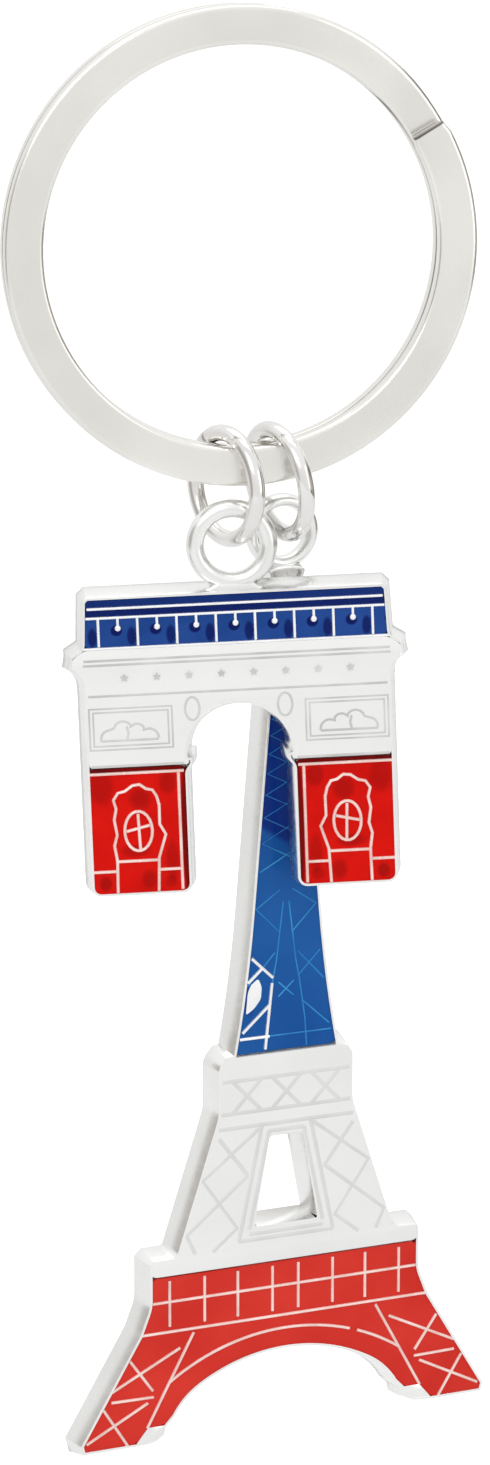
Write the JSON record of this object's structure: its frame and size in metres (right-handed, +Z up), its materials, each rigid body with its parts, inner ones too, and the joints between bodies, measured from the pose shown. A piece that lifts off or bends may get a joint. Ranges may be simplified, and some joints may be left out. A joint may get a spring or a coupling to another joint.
{
  "type": "enamel charm keychain",
  "caption": "Coiled split ring carrying two jump rings, with a cast arch and a taller cast lattice tower hanging side by side, both enamelled in blue, white and red.",
  "frame": {"origin": "centre of the split ring, on its axis and midway through its thickness", "axes": "+Z up, away from the charms; the split ring's axis is Y and the enamelled faces look to -Y; +X is to the right seen from the front"},
  "size_m": [0.0326, 0.0093, 0.0941],
  "materials": {
    "ring_nickel": "bright nickel plated steel wire",
    "charm_nickel": "bright nickel plated zinc casting",
    "blue_enamel": "glossy translucent blue enamel",
    "white_enamel": "glossy opaque white enamel",
    "red_enamel": "glossy opaque red enamel"
  },
  "bodies": {
    "key_ring": {"split_ring": "ring_nickel"},
    "arch_link": {"arch_jump_ring": "ring_nickel"},
    "tower_link": {"tower_jump_ring": "ring_nickel"},
    "arch_charm": {"arch_casting": "charm_nickel", "arch_blue_enamel": "blue_enamel", "arch_white_enamel": "white_enamel", "arch_red_enamel": "red_enamel"},
    "tower_charm": {"tower_casting": "charm_nickel", "tower_blue_enamel": "blue_enamel", "tower_white_enamel": "white_enamel", "tower_red_enamel": "red_enamel"}
  },
  "joints": [
    {"name": "arch_link_swing", "type": "hinge", "parent": "key_ring", "child": "arch_link", "pos_m": [-0.00093, 0, -0.01512], "axis": [0.9134, 0.4067, 0.0159], "range_deg": [-35, 0]},
    {"name": "arch_sway", "type": "hinge", "parent": "arch_link", "child": "arch_charm", "pos_m": [-0.00038, -0.0011, -0.01827], "axis": [0.1357, 0.9907, 0], "range_deg": [-25, 25]},
    {"name": "tower_link_swing", "type": "hinge", "parent": "key_ring", "child": "tower_link", "pos_m": [0.00248, 0, -0.01495], "axis": [0.9379, 0.3173, 0.1402], "range_deg": [0, 45]},
    {"name": "tower_sway", "type": "hinge", "parent": "tower_link", "child": "tower_charm", "pos_m": [0.00244, 0.00145, -0.01801], "axis": [-0.2062, 0.9785, 0], "range_deg": [-25, 0]}
  ]
}
